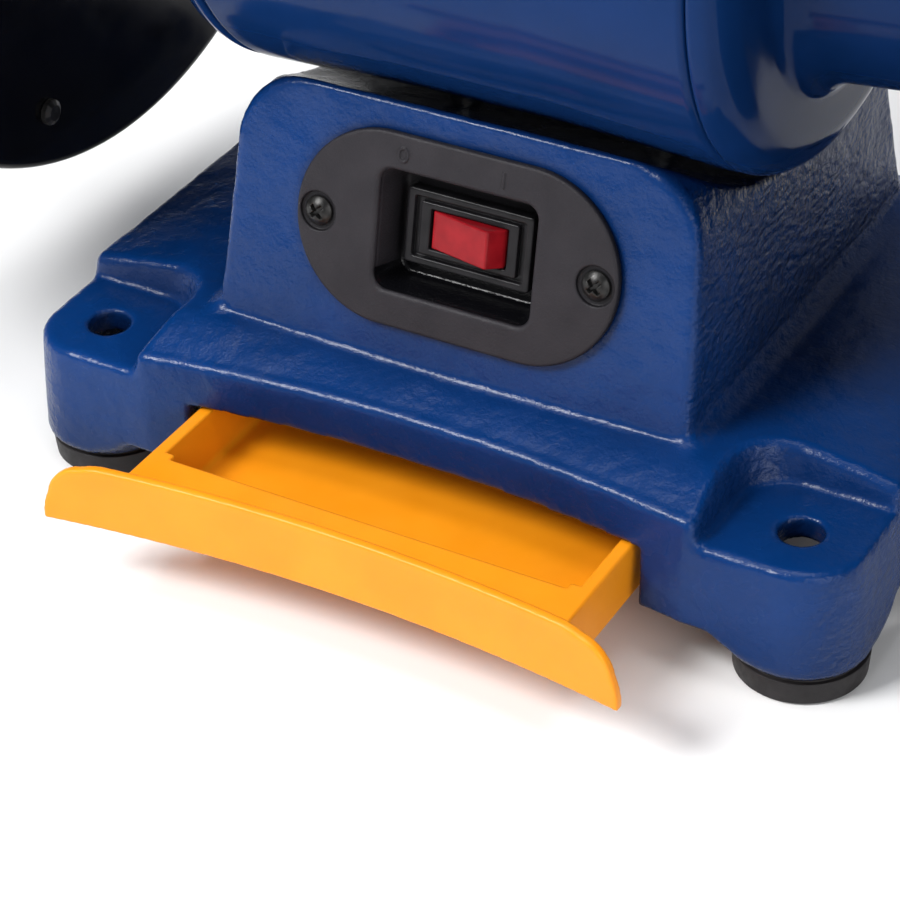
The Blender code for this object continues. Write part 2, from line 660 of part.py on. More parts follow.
def make_motor():
    make_barrel()
    for side, sx in SIDES:
        make_end_bell(side, sx)
        make_bearing(side, sx)
        coil = [(CORE_HALF + a, r) for a, r in ((0.4, 41), (0.4, 56), (12, 57), (18, 53), (19, 46), (15, 41))]
        turned(f"winding_{side}", coil, 22, "copper", ring=True, at=along_x(side=sx))
    half, outer = CORE_HALF, BORE_R - GAP
    core = ((-half, CORE_BORE_R), (-half, outer), (half, outer), (half, CORE_BORE_R))
    turned("stator_core", core, 32, "lamination", ring=True, at=along_x())
    bore = SHAFT_R + GAP
    ends = ((half, ROTOR_R), (half + 6, 33), (half + 6, bore))
    rotor = [(-along, radius) for along, radius in reversed(ends)] + list(ends)
    turned("rotor", rotor, 24, "lamination", ring=True, at=along_x())
    steps = (
        (60, SHAFT_R),
        (60, SHAFT_R - 0.3),
        (97, SHAFT_R - 0.3),
        (97, BEARING_BORE - GAP),
        (140.3, BEARING_BORE - GAP),
        (140.3, ARBOR_R),
        (ARBOR_END - 1, ARBOR_R),
        (ARBOR_END, ARBOR_R - 1),
    )
    shaft = [(-along, radius) for along, radius in reversed(steps)] + list(steps)
    turned("shaft", shaft, 16, "zinc_steel", at=along_x())

    can_at = Matrix.Translation((36.0, AXIS_Y + 30.0, 58.0)) @ Matrix.Rotation(math.pi / 2, 4, "X")
    can = ((0, 15.5), (0.8, 16.2), (58, 16.2), (59, 15.2))
    turned("capacitor", can, 24, "black_plastic", at=can_at)
    gland = ((-10, 4.6), (-10, 7.2), (GAP, 7.2), (GAP, 11), (4.2, 11), (6, 9), (20, 7), (20, 4.6))
    turned("cord_gland", gland, 16, "black_plastic", ring=True, at=gland_place())


# Wheels, guards, rests and shields ---------------------------------------------------------------------------


def make_guard(side, sx):
    axle = along_x(side=sx)
    skin = ((GUARD_X0, 26.0), (GUARD_X0, GUARD_R - 1.4), (GUARD_X0 + 1.4, GUARD_R), (GUARD_X1, GUARD_R))
    guard = turned(f"guard_{side}", skin, 44, "black_enamel", sheet=SHEET, at=axle)
    cover_profile = ((GUARD_X1 + GAP, GUARD_R), (COVER_X - 0.8, GUARD_R), (COVER_X, GUARD_R - 0.8))
    cover = turned(f"guard_cover_{side}", cover_profile, 44, "black_enamel", at=axle)
    head = COVER_X + GAP
    for number, degrees in enumerate(POST_ANGLES, 1):
        at = along_x(*polar(POST_R, degrees), sx)
        tag = f"{side}_{number}"
        add(guard, rod(f"post_{tag}", 5.0, (GUARD_X0 + 1, GUARD_X1), 16, at=at))
        cut(guard, rod(f"post_thread_{tag}", 2.0, (GUARD_X1 - 14, GUARD_X1 + 5), 10, at=at))
        cut(cover, rod(f"cover_clear_{tag}", 2.4, (GUARD_X1 - 5, GUARD_X1 + 9), 10, at=at))
        screw = ((GUARD_X1 - 13, 1.7), (head, 1.7), (head, 4.2), (head + 1.7, 3.9), (head + 2.6, 2.2))
        turned(f"guard_screw_{tag}", screw, 12, "zinc_steel", at=at)

    mouth = across(f"mouth_{side}", MOUTH, GUARD_X0 - 5, GUARD_X1 + 12, sx)
    knob_at, peg_at = along_x(*KNOB, sx), along_x(*SHIELD_PEG, sx)
    add(cover, rod(f"weld_nut_{side}", 7.0, (GUARD_X1 - 5, GUARD_X1 + 1), 16, at=knob_at))
    cut(
        cover,
        mouth,
        rod(f"knob_thread_{side}", 4.1, (GUARD_X1 - 9, GUARD_X1 + 9), 14, at=knob_at),
        rod(f"shield_thread_{side}", 2.6, (GUARD_X1 - 9, GUARD_X1 + 9), 10, at=peg_at),
    )
    lug_at = along_x(*polar(LUG_R, LUG_ANGLE), sx)
    cut(guard, mouth, rod(f"lug_hole_{side}", 2.4, (GUARD_X0 - 3, GUARD_X0 + 6), 10, at=lug_at))
    under = GUARD_X0 - GAP
    lug = ((under - 2.1, 2.2), (under - 1.3, 3.5), (under, 3.6), (under, 2.0), (GUARD_X0 + 4.6, 2.0))
    turned(f"lug_screw_{side}", lug, 12, "black_steel", at=lug_at)


def make_wheel(side, sx):
    axle = along_x(side=sx)
    inner = ((140.6, FLANGE_BORE), (140.6, 18), (142, FLANGE_R), (144.7, FLANGE_R), (144.7, 24), (143.4, 24))
    inner += ((143.4, FLANGE_BORE),)
    turned(f"inner_flange_{side}", inner, 20, "zinc_steel", ring=True, at=axle)
    x = WHEEL_X1 + GAP
    outer = ((x, FLANGE_BORE), (x, FLANGE_R), (x + 2.7, FLANGE_R), (x + 4.1, 18), (x + 4.1, FLANGE_BORE))
    turned(f"outer_flange_{side}", outer, 20, "zinc_steel", ring=True, at=axle)
    x0, x1, r, bore = WHEEL_X0, WHEEL_X1, WHEEL_R, ARBOR_R + 0.4
    wheel = ((x0, bore), (x0, r - 1), (x0 + 1, r), (x1 - 1, r), (x1, r - 1), (x1, bore))
    turned(f"wheel_{side}", wheel, 36, "abrasive", ring=True, at=axle)
    nut = rod(f"arbor_nut_{side}", 13.6, (x + 4.4, x + 14.1), 6, "zinc_steel", axle)
    cut(nut, rod(f"nut_thread_{side}", FLANGE_BORE, (x, x + 20), 20, at=axle))


def make_rest(side, sx):
    rest = across(f"tool_rest_{side}", LEG, REST_X, REST_X + REST_T, sx, "zinc_steel")
    low = REST_TOP - REST_T
    table = ((REST_FRONT, low), (REST_BACK, low), (REST_BACK, REST_TOP), (REST_FRONT, REST_TOP))
    add(rest, across(f"rest_table_{side}", table, 144.0, REST_X + REST_T - 1, sx))
    y, z = KNOB
    slot = ((y - 7.0, z - 4.2), (y + 12.8, z - 4.2), (y + 12.8, z + 4.2), (y - 7.0, z + 4.2))
    cut(rest, across(f"rest_slot_{side}", slot, REST_X - 5, REST_X + 9, sx))

    knob_at = along_x(*KNOB, sx)
    start = REST_X + REST_T + GAP
    grip = []
    for i in range(24):
        lobed = KNOB_R * (1 + 0.09 * math.cos(KNOB_LOBES * math.radians(15 * i)))
        grip.append(polar(lobed, 15 * i))
    knob = flat(f"rest_knob_{side}", grip, (start + 4, start + 14), "black_plastic", knob_at)
    bevel(knob, 1.5, 1)
    hub = ((GUARD_X1 - 4, 3.8), (start, 3.8), (start, 8.5), (start + 5, 9.0))
    add(knob, turned(f"knob_hub_{side}", hub, 16, at=knob_at))


def make_shield(side, sx):
    bracket = across(f"shield_bracket_{side}", BRACKET, REST_X, REST_X + 3, sx, "black_steel")
    pivot_at = along_x(*SHIELD_PIVOT, sx)
    add(
        bracket,
        rod(f"shield_rod_{side}", 3.0, (138, REST_X + 1), 14, at=pivot_at),
        rod(f"shield_peg_{side}", 2.3, (GUARD_X1 - 3, REST_X + 1), 10, at=along_x(*SHIELD_PEG, sx)),
    )
    y, z = SHIELD_PIVOT
    tilt = Matrix.Translation((0, AXIS_Y + y, AXIS_Z + z)) @ Matrix.Rotation(math.radians(20), 4, "X")
    x = sorted((sx * 140.0, sx * 186.0))
    shield = box(f"eye_shield_{side}", x, (-74, -1), (-1.5, 1.5), "clear_plastic", tilt)
    add(shield, rod(f"shield_barrel_{side}", 5.5, (141, 185), 16, at=pivot_at))
    cut(shield, rod(f"shield_bore_{side}", 3.3, (130, 187), 14, at=pivot_at))


make_base()
make_underside()
make_tray()
make_switch()
make_motor()
for side_name, side_sign in SIDES:
    make_guard(side_name, side_sign)
    make_wheel(side_name, side_sign)
    make_rest(side_name, side_sign)
    make_shield(side_name, side_sign)
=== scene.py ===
"""Looks of a bench grinder with a coolant tray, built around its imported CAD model.

Cast and moulded pieces are skins over distance fields, which gives them the soft edges and fillets of
the real ones. Turned pieces are spun profiles. Sizes are in millimetres and measured from the shaft line
in plan, as in the CAD; MM scales them to metres.
"""

import math

import bmesh
import bpy
import numpy as np
from mathutils import Matrix, Vector, noise


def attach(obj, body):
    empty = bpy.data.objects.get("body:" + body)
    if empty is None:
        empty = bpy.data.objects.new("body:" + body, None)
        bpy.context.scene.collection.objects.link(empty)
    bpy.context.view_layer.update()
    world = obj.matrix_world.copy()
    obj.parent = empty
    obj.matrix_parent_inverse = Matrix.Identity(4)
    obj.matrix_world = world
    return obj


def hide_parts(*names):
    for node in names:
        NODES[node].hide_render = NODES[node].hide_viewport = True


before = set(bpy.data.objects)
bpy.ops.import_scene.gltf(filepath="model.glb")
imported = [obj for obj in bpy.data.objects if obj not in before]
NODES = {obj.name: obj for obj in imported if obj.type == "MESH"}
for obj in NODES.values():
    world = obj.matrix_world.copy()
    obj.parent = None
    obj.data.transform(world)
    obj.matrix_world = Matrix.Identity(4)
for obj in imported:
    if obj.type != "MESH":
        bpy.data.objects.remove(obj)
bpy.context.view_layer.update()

MM = 0.001
SIDES = (("left", -1), ("right", 1))
ENDS = (("front", -1), ("rear", 1))

# Shaft line
AXIS_Y, AXIS_Z = 25.2, 167.0

# Base casting
FRONT_MID, FRONT_RUN, FRONT_SAG = 79.0, 78.0, 7.2
CORNER_X, CORNER_Y, CORNER_R = 98.4, 70.2, 15.4
DECK_Z, CROWN_Z, WALL_BOTTOM_Z, ROOF_Z = 44.0, 48.6, 15.0, 38.0
WALL = 6.0
PAD_X, PAD_Y, PAD_R, PAD_Z = 77.5, 51.4, 13.0, 38.0
HOLE_X, HOLE_Y, HOLE_R = 97.0, 68.85, 5.45
FOOT_X, FOOT_Y, FOOT_R, FOOT_H = 98.4, 69.2, 16.6, 8.0

# Pedestal
PED_X, PED_Y, PED_Z = 66.0, 65.45, 44.4
SIDE_TAPER = 0.06
LEAN = math.radians(12.7)
SHOULDER_X, SHOULDER_H, TOP_H = 38.5, 50.3, 70.4
SADDLE_R, BRIDGE_Z = 73.5, 84.0

# Coolant tray
TRAY_HALF, TRAY_BACK, TRAY_Z0, TRAY_Z1 = 60.8, 8.0, 15.1, 30.9
CAVITY_HALF, CAVITY_FRONT, CAVITY_BACK, CAVITY_FLOOR = 57.3, 104.3, 5.0, 2.2
MOUTH_HALF, MOUTH_TOP = 63.2, 31.6
PANEL_HALF, PANEL_MID_Y, PANEL_SAG = 78.7, 119.2, 6.6
PANEL_Z0, PANEL_Z1, PANEL_ROUND, PANEL_T = 19.2, 36.8, 17.0, 2.6

# Switch
PLATE_X, PLATE_H = 0.8, 38.1
PLATE_HALF, PLATE_R, PLATE_Z0, PLATE_Z1, TUB_Z = 43.8, 24.5, 0.3, 2.3, -8.9
SCREW_DX = 37.8
WINDOW_X, WINDOW_Y = 21.5, 15.4
BEZEL_X, BEZEL_Y, BEZEL_Z = 17.25, 9.6, -5.0
INNER_X, INNER_Y = 13.4, 6.7
ROCKER_X, ROCKER_Y = 10.2, 4.8

# Motor, wheels and guards
BARREL_R, BARREL_END_R, BARREL_HALF = 68.5, 70.1, 64.8
GUARD_X0, GUARD_X1, GUARD_R, SHEET = 135.0, 188.0, 115.6, 2.0
COVER_X = 190.3
WHEEL_X0, WHEEL_X1, WHEEL_R = 145.0, 170.4, 101.6


# Camera, floor and light --------------------------------------------------------------------------


def make_camera():
    azimuth, elevation, roll = map(math.radians, (31.06, 35.38, -2.15))
    target = Vector((10.69, -55.35, 40.0)) * MM
    back = Vector(
        (
            math.sin(azimuth) * math.cos(elevation),
            -math.cos(azimuth) * math.cos(elevation),
            math.sin(elevation),
        )
    )
    data = bpy.data.cameras.new("camera")
    data.lens, data.sensor_width = 117.03, 36.0
    camera = bpy.data.objects.new("camera", data)
    bpy.context.scene.collection.objects.link(camera)
    turn = (-back).to_track_quat("-Z", "Y").to_matrix().to_4x4()
    distance = 698.34 * MM
    place = Matrix.Translation(target + back * distance)
    camera.matrix_world = place @ turn @ Matrix.Rotation(roll, 4, "Z")
    bpy.context.scene.camera = camera


def area_light(name, place, aim, size, power):
    data = bpy.data.lights.new(name, "AREA")
    data.shape = "RECTANGLE"
    data.size, data.size_y = size
    data.energy = power
    light = bpy.data.objects.new(name, data)
    bpy.context.scene.collection.objects.link(light)
    light.location = place
    light.rotation_euler = (Vector(aim) - Vector(place)).to_track_quat("-Z", "Y").to_euler()


def make_studio():
    world = bpy.data.worlds.new("studio")
    bpy.context.scene.world = world
    world.use_nodes = True
    world.node_tree.nodes["Background"].inputs["Color"].default_value = (0.93, 0.95, 1.0, 1)
    world.node_tree.nodes["Background"].inputs["Strength"].default_value = 0.28
    floor_mesh = bpy.data.meshes.new("floor")
    span = 6.0
    corners = [(-span, -span, 0), (span, -span, 0), (span, span, 0), (-span, span, 0)]
    floor_mesh.from_pydata(corners, [], [(0, 1, 2, 3)])
    floor = bpy.data.objects.new("floor", floor_mesh)
    bpy.context.scene.collection.objects.link(floor)
    floor_mesh.materials.append(painted("floor", (0.86, 0.86, 0.86), 0.9))
    area_light("key", (-0.63, -0.87, 1.12), (0, 0, 0.05), (0.5, 0.5), 25)
    area_light("top", (0.0, 0.25, 1.6), (0, 0, 0.05), (1.4, 1.4), 21)
    area_light("fill", (1.1, -0.75, 0.55), (0, 0, 0.05), (0.9, 0.7), 8)
    bpy.context.scene.view_settings.view_transform = "Standard"


# Materials ----------------------------------------------------------------------------------------


def node(tree, kind, **inputs):
    """A new shader node; inputs are values or (node, output) pairs, with _ for a space in a socket's name."""
    made = tree.nodes.new(kind)
    for key, value in inputs.items():
        name = key.replace("_", " ")
        if isinstance(value, tuple) and len(value) == 2 and isinstance(value[0], bpy.types.Node):
            tree.links.new(value[0].outputs[value[1]], made.inputs[name])
        else:
            made.inputs[name].default_value = value
    return made


def painted(name, colour, roughness, metallic=0.0):
    """A plain principled material; textured() adds its surface."""
    material = bpy.data.materials.new(name)
    material.use_nodes = True
    shader = material.node_tree.nodes["Principled BSDF"]
    shader.inputs["Base Color"].default_value = (*colour, 1)
    shader.inputs["Roughness"].default_value = roughness
    shader.inputs["Metallic"].default_value = metallic
    return material


def position(tree, stretch=(1, 1, 1)):
    """Object coordinates in millimetres, stretched per axis."""
    source = tree.nodes.new("ShaderNodeTexCoord")
    mapping = tree.nodes.new("ShaderNodeMapping")
    mapping.inputs["Scale"].default_value = [each / MM for each in stretch]
    tree.links.new(source.outputs["Object"], mapping.inputs["Vector"])
    return mapping


def speckle(tree, size, detail=2.0, stretch=(1, 1, 1)):
    """Noise from 0 to 1 with features of about that size in mm."""
    at = position(tree, stretch)
    return node(tree, "ShaderNodeTexNoise", Vector=(at, "Vector"), Scale=1.0 / size, Detail=detail)


def between(tree, factor, low, high):
    """A noise's factor spread between two values."""
    made = node(tree, "ShaderNodeMapRange", Value=(factor, "Fac"), From_Min=0.3, From_Max=0.7)
    made.inputs["To Min"].default_value = low
    made.inputs["To Max"].default_value = high
    return made


def shades(tree, factor, low, high):
    """A noise's factor spread between two colours."""
    ramp = tree.nodes.new("ShaderNodeValToRGB")
    ramp.color_ramp.elements[0].position, ramp.color_ramp.elements[1].position = 0.3, 0.7
    ramp.color_ramp.elements[0].color = (*low, 1)
    ramp.color_ramp.elements[1].color = (*high, 1)
    tree.links.new(factor.outputs["Fac"], ramp.inputs["Fac"])
    return ramp


def textured(name, low, high, patch, rough, grain, metallic=0.0, **sockets):
    """A material whose colour drifts between two shades over patches, with grain = (size, depth) mm of bump
    on one or more scales, and roughness between two values."""
    material = painted(name, high, rough[1], metallic)
    tree = material.node_tree
    shader = tree.nodes["Principled BSDF"]
    for key, value in sockets.items():
        shader.inputs[key.replace("_", " ")].default_value = value
    drift = speckle(tree, patch, 3.0)
    tree.links.new(shades(tree, drift, low, high).outputs["Color"], shader.inputs["Base Color"])
    gloss = speckle(tree, patch * 0.37, 2.0)
    tree.links.new(between(tree, gloss, *rough).outputs["Result"], shader.inputs["Roughness"])
    last = None
    for size, depth in grain:
        bump = node(tree, "ShaderNodeBump", Height=(speckle(tree, size, 2.0), "Fac"), Distance=depth * MM)
        if last:
            tree.links.new(last.outputs["Normal"], bump.inputs["Normal"])
        last = bump
    tree.links.new(last.outputs["Normal"], shader.inputs["Normal"])
    return material


def cast_enamel():
    """Gloss blue enamel over a rough casting; its sides are more wrinkled than its top and front."""
    grain = ((0.4, 0.04), (0.9, 0.09), (2.6, 0.16))
    material = textured(
        "cast_enamel", (0.0012, 0.025, 0.116), (0.0018, 0.031, 0.144), 26.0, (0.20, 0.30), grain,
        Specular_IOR_Level=0.22,
    )
    tree = material.node_tree
    shader = tree.nodes["Principled BSDF"]
    previous = shader.inputs["Normal"].links[0].from_node
    facing = tree.nodes.new("ShaderNodeSeparateXYZ")
    geometry = tree.nodes.new("ShaderNodeNewGeometry")
    tree.links.new(geometry.outputs["Normal"], facing.inputs["Vector"])
    side = node(tree, "ShaderNodeMath", Value=(facing, "X"))
    side.operation = "ABSOLUTE"
    strength = node(tree, "ShaderNodeMapRange", Value=(side, "Value"), From_Min=0.08, From_Max=0.85)
    strength.inputs["To Min"].default_value = 0.0
    strength.inputs["To Max"].default_value = 1.0
    wrinkles = speckle(tree, 2.0, 6.0, (1, 0.65, 1.2))
    bump = node(tree, "ShaderNodeBump", Height=(wrinkles, "Fac"), Distance=0.8 * MM)
    tree.links.new(strength.outputs["Result"], bump.inputs["Strength"])
    tree.links.new(previous.outputs["Normal"], bump.inputs["Normal"])
    tree.links.new(bump.outputs["Normal"], shader.inputs["Normal"])
    return material


def make_materials():
    fine = ((0.35, 0.02),)
    return {
        # painted shade: the casting's colour darkens in its hollows and creases, under the motor and behind
        # the tray
        "cast_enamel": paint_shade_in_hollows(cast_enamel(), 34, (0.0015, 0.004, 0.020), 1.2),
        "gloss_enamel": textured(
            "gloss_enamel", (0.003, 0.021, 0.088), (0.005, 0.026, 0.108), 30.0, (0.08, 0.12), ((5.0, 0.02),),
            Specular_IOR_Level=0.08,
        ),
        "guard_enamel": textured(
            "guard_enamel", (0.0015, 0.0015, 0.002), (0.003, 0.003, 0.0035), 22.0, (0.16, 0.24),
            ((2.0, 0.01),),
            Specular_IOR_Level=0.2,
        ),
        "tray_plastic": textured(
            "tray_plastic", (0.78, 0.255, 0.005), (0.84, 0.285, 0.008), 18.0, (0.34, 0.42), ((0.5, 0.012),),
            Specular_IOR_Level=0.3,
        ),
        "foot_rubber": textured(
            "foot_rubber", (0.008, 0.0065, 0.007), (0.014, 0.012, 0.013), 5.0, (0.45, 0.6), ((0.6, 0.03),),
            Specular_IOR_Level=0.3,
        ),
        # painted shade: the plate's colour darkens in its recess and round its screw heads
        "plate_plastic": paint_shade_in_hollows(plate_plastic(), 7, (0.002, 0.002, 0.0025), 1.3),
        "black_gloss": textured(
            "black_gloss", (0.006, 0.006, 0.007), (0.012, 0.011, 0.013), 6.0, (0.28, 0.38), ((0.4, 0.008),),
            Specular_IOR_Level=0.2,
        ),
        "black_satin": textured(
            "black_satin", (0.012, 0.012, 0.013), (0.022, 0.021, 0.022), 6.0, (0.42, 0.55), ((0.5, 0.02),)
        ),
        "red_lens": textured(
            "red_lens", (0.20, 0.004, 0.008), (0.28, 0.008, 0.013), 5.0, (0.16, 0.22), ((1.2, 0.004),),
            Specular_IOR_Level=0.15,
        ),
        "black_steel": textured(
            "black_steel", (0.012, 0.012, 0.012), (0.03, 0.029, 0.028), 1.5, (0.28, 0.42), fine, metallic=0.6
        ),
        "zinc_steel": textured(
            "zinc_steel", (0.42, 0.42, 0.41), (0.6, 0.6, 0.58), 4.0, (0.25, 0.4), fine, metallic=1.0
        ),
        "turned_steel": textured(
            "turned_steel", (0.5, 0.5, 0.5), (0.68, 0.68, 0.67), 3.0, (0.18, 0.3), ((0.25, 0.015),),
            metallic=1.0,
        ),
        "lamination": textured(
            "lamination", (0.16, 0.16, 0.165), (0.3, 0.3, 0.3), 3.0, (0.4, 0.55), ((0.5, 0.05),), metallic=1.0
        ),
        "copper_wire": textured(
            "copper_wire", (0.4, 0.13, 0.04), (0.62, 0.24, 0.09), 2.0, (0.3, 0.42), ((0.7, 0.25),),
            metallic=1.0,
        ),
        "abrasive": textured(
            "abrasive", (0.10, 0.10, 0.105), (0.2, 0.2, 0.205), 1.1, (0.85, 0.98), ((0.5, 0.25), (1.3, 0.2))
        ),
        "clear_plastic": clear_plastic(),
    }


def paint_shade_in_hollows(material, reach, dark, power=1.0):
    """Paints shade into the base colour: mixes it towards dark where the surface is hemmed in within reach
    mm.
    """
    tree = material.node_tree
    shader = tree.nodes["Principled BSDF"]
    colour = shader.inputs["Base Color"].links[0].from_socket
    openness = tree.nodes.new("ShaderNodeAmbientOcclusion")
    openness.inputs["Distance"].default_value = reach * MM
    openness.samples = 6
    curve = node(tree, "ShaderNodeMath", Value=(openness, "AO"))
    curve.operation = "POWER"
    curve.inputs[1].default_value = power
    mix = tree.nodes.new("ShaderNodeMix")
    mix.data_type = "RGBA"
    mix.inputs["A"].default_value = (*dark, 1)
    tree.links.new(curve.outputs["Value"], mix.inputs["Factor"])
    tree.links.new(colour, mix.inputs["B"])
    tree.links.new(mix.outputs["Result"], shader.inputs["Base Color"])
    return material


def plate_plastic():
    """Fine-textured grey; the recess's lower slope is polished and black."""
    material = textured(
        "plate_plastic", (0.018, 0.0165, 0.020), (0.024, 0.022, 0.026), 9.0, (0.46, 0.56),
        ((0.5, 0.09), (1.0, 0.05)), Specular_IOR_Level=0.18,
    )
    tree = material.node_tree
    shader = tree.nodes["Principled BSDF"]
    place = tree.nodes.new("ShaderNodeSeparateXYZ")
    tree.links.new(position(tree).outputs["Vector"], place.inputs["Vector"])
    low = node(tree, "ShaderNodeMapRange", Value=(place, "Y"), From_Min=-11.0, From_Max=-10.2)
    deep = node(tree, "ShaderNodeMapRange", Value=(place, "Z"), From_Min=1.0, From_Max=1.9)
    matte = node(tree, "ShaderNodeMath", Value=(low, "Result"))
    matte.operation = "MAXIMUM"
    tree.links.new(deep.outputs["Result"], matte.inputs[1])
    for name, value in (("Base Color", (0.003, 0.003, 0.004, 1)), ("Roughness", 0.12)):
        before = shader.inputs[name].links[0].from_socket
        mix = tree.nodes.new("ShaderNodeMix")
        mix.data_type = "RGBA" if name == "Base Color" else "FLOAT"
        ends = [each for each in mix.inputs if each.enabled]
        ends[1].default_value = value
        tree.links.new(matte.outputs["Value"], ends[0])
        tree.links.new(before, ends[2])
        tree.links.new([each for each in mix.outputs if each.enabled][0], shader.inputs[name])
    return material


def clear_plastic():
    material = textured(
        "clear_plastic", (0.9, 0.94, 0.95), (0.95, 0.97, 0.97), 20.0, (0.03, 0.08), ((3.0, 0.004),), IOR=1.49
    )
    material.node_tree.nodes["Principled BSDF"].inputs["Transmission Weight"].default_value = 1.0
    return material


# Making pieces ------------------------------------------------------------------------------------


def round_and(a, b, r):
    """The overlap of two fields, with an edge of radius r."""
    edge = np.hypot(np.maximum(a + r, 0), np.maximum(b + r, 0))
    return np.minimum(-r, np.maximum(a, b)) + edge


def round_or(a, b, r):
    """The union of two fields, with a fillet of radius r."""
    edge = np.hypot(np.maximum(r - a, 0), np.maximum(r - b, 0))
    return np.maximum(r, np.minimum(a, b)) - edge


def ease(low, high, value):
    """0 below low, 1 above high, smooth between."""
    t = np.clip((value - low) / (high - low), 0, 1)
    return t * t * (3 - 2 * t)


def rounded_rect(u, v, half_u, half_v, r):
    qu, qv = np.abs(u) - (half_u - r), np.abs(v) - (half_v - r)
    return np.hypot(np.maximum(qu, 0), np.maximum(qv, 0)) + np.minimum(np.maximum(qu, qv), 0) - r


def capped_curve(u, v, half_u, half_v):
    """A quarter ellipse's field, which runs on as straight lines past its two ends."""
    pu, pv = np.maximum(u, 0) / half_u, np.maximum(v, 0) / half_v
    k = np.hypot(pu, pv)
    slope = np.maximum(np.hypot(pu / half_u, pv / half_v), 1e-6)
    return np.where(k < 1e-3, -min(half_u, half_v), k * (k - 1) / slope)


CORNERS = [(i, j, k) for i in (0, 1) for j in (0, 1) for k in (0, 1)]


def skin(name, field, low, high, step):
    """Points and quads over a field's zero surface, one point in each grid cell that the surface crosses."""
    axes = [np.arange(a, b + step, step, dtype=np.float32) for a, b in zip(low, high)]
    value = field(*np.meshgrid(*axes, indexing="ij", sparse=True)).astype(np.float32)
    inside = value < 0
    nx, ny, nz = (n - 1 for n in value.shape)
    count = np.zeros((nx, ny, nz), np.uint8)
    for i, j, k in CORNERS:
        count += inside[i : i + nx, j : j + ny, k : k + nz]
    cells = np.argwhere((count > 0) & (count < 8))
    corner = [value[cells[:, 0] + i, cells[:, 1] + j, cells[:, 2] + k] for i, j, k in CORNERS]
    total, crossings = np.zeros((len(cells), 3)), np.zeros(len(cells))
    for a in range(8):
        for b in range(a + 1, 8):
            offset = np.array(CORNERS[b]) - np.array(CORNERS[a])
            if np.abs(offset).sum() != 1:
                continue
            crossed = (corner[a] < 0) != (corner[b] < 0)
            share = np.where(crossed, corner[a] / np.where(crossed, corner[a] - corner[b], 1), 0)
            total += crossed[:, None] * (np.array(CORNERS[a]) + share[:, None] * offset)
            crossings += crossed
    points = (cells + total / crossings[:, None]) * step + np.array(low)
    index = np.full((nx, ny, nz), -1, np.int64)
    index[tuple(cells.T)] = np.arange(len(cells))
    quads = []
    for axis in range(3):
        size = [nx, ny, nz]
        near = [slice(1, n) for n in size]
        far = list(near)
        near[axis], far[axis] = slice(0, size[axis]), slice(1, size[axis] + 1)
        changed = np.argwhere(inside[tuple(near)] != inside[tuple(far)])
        start = changed + 1
        start[:, axis] -= 1
        u, v = [np.eye(3, dtype=int)[(axis + turn) % 3] for turn in (1, 2)]
        ring = [index[tuple((start - shift).T)] for shift in (0 * u, u, u + v, v)]
        quad = np.stack(ring, 1)
        enters = ~inside[tuple(start.T)]
        quad[enters] = quad[enters][:, ::-1]
        quads.append(quad)
    return mesh_of(name, points * MM, np.concatenate(quads))


def mesh_of(name, points, faces):
    mesh = bpy.data.meshes.new(name)
    mesh.from_pydata(points.tolist() if hasattr(points, "tolist") else points, [], np.asarray(faces).tolist())
    mesh.shade_smooth()
    return mesh


def piece(name, mesh, material, body, replaced=(), at=Matrix()):
    """A piece in its place, riding on its body and standing for CAD nodes."""
    obj = bpy.data.objects.new(name, mesh)
    bpy.context.scene.collection.objects.link(obj)
    obj.matrix_world = Matrix.Translation(at.to_translation() * MM) @ at.to_3x3().to_4x4()
    mesh.materials.clear()
    mesh.materials.append(MATERIALS[material])
    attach(obj, body)
    if replaced:
        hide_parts(*replaced)
    return obj


def upright(x=0.0, y=0.0):
    return Matrix.Translation((x, AXIS_Y + y, 0))


def along_x(y=0.0, z=0.0, side=1):
    return Matrix.Translation((0, AXIS_Y + y, AXIS_Z + z)) @ Matrix.Rotation(side * math.pi / 2, 4, "Y")


def on_face(x, h, back=False):
    """Local Z out of the pedestal's leaning face, local Y up it, origin h up from its foot."""
    reach = PED_Y - h * math.sin(LEAN)
    turn = Matrix.Rotation(math.pi / 2 - LEAN, 4, "X")
    if back:
        turn = Matrix.Rotation(math.pi, 4, "Z") @ turn
    return Matrix.Translation((x, AXIS_Y + (reach if back else -reach), PED_Z + h * math.cos(LEAN))) @ turn


def eased(profile, radius, steps=3):
    """A profile with each inner corner of it rounded by up to that radius."""
    points = [Vector(each) for each in profile]
    made = [points[0]]
    for before, here, after in zip(points, points[1:], points[2:]):
        inward, outward = before - here, after - here
        reach = min(radius, inward.length * 0.45, outward.length * 0.45)
        start, end = here + inward.normalized() * reach, here + outward.normalized() * reach
        for i in range(steps + 1):
            t = i / steps
            made.append(start * (1 - t) ** 2 + here * 2 * t * (1 - t) + end * t * t)
    return made + [points[-1]]


def spun(name, profile, steps=96, closed=False):
    """A profile of (along, radius) in mm turned about local Z. Open ends on a radius of 0 make a solid."""
    rings = [(float(a), float(r)) for a, r in profile]
    bm = bmesh.new()
    loops = []
    for along, radius in rings:
        if radius < 1e-6:
            loops.append([bm.verts.new((0, 0, along * MM))] * steps)
            continue
        angles = [2 * math.pi * i / steps for i in range(steps)]
        ring = [(radius * MM * math.cos(a), radius * MM * math.sin(a), along * MM) for a in angles]
        loops.append([bm.verts.new(point) for point in ring])
    pairs = list(zip(loops, loops[1:] + loops[:1])) if closed else list(zip(loops, loops[1:]))
    for here, there in pairs:
        for i in range(steps):
            j = (i + 1) % steps
            corners = [here[i], here[j], there[j], there[i]]
            unique = [v for n, v in enumerate(corners) if v not in corners[:n]]
            if len(unique) > 2:
                bm.faces.new(unique)
    bmesh.ops.recalc_face_normals(bm, faces=bm.faces)
    mesh = bpy.data.meshes.new(name)
    bm.to_mesh(mesh)
    bm.free()
    mesh.shade_smooth()
    mesh.set_sharp_from_angle(angle=math.radians(42))
    return mesh


# Base casting -------------------------------------------------------------------------------------


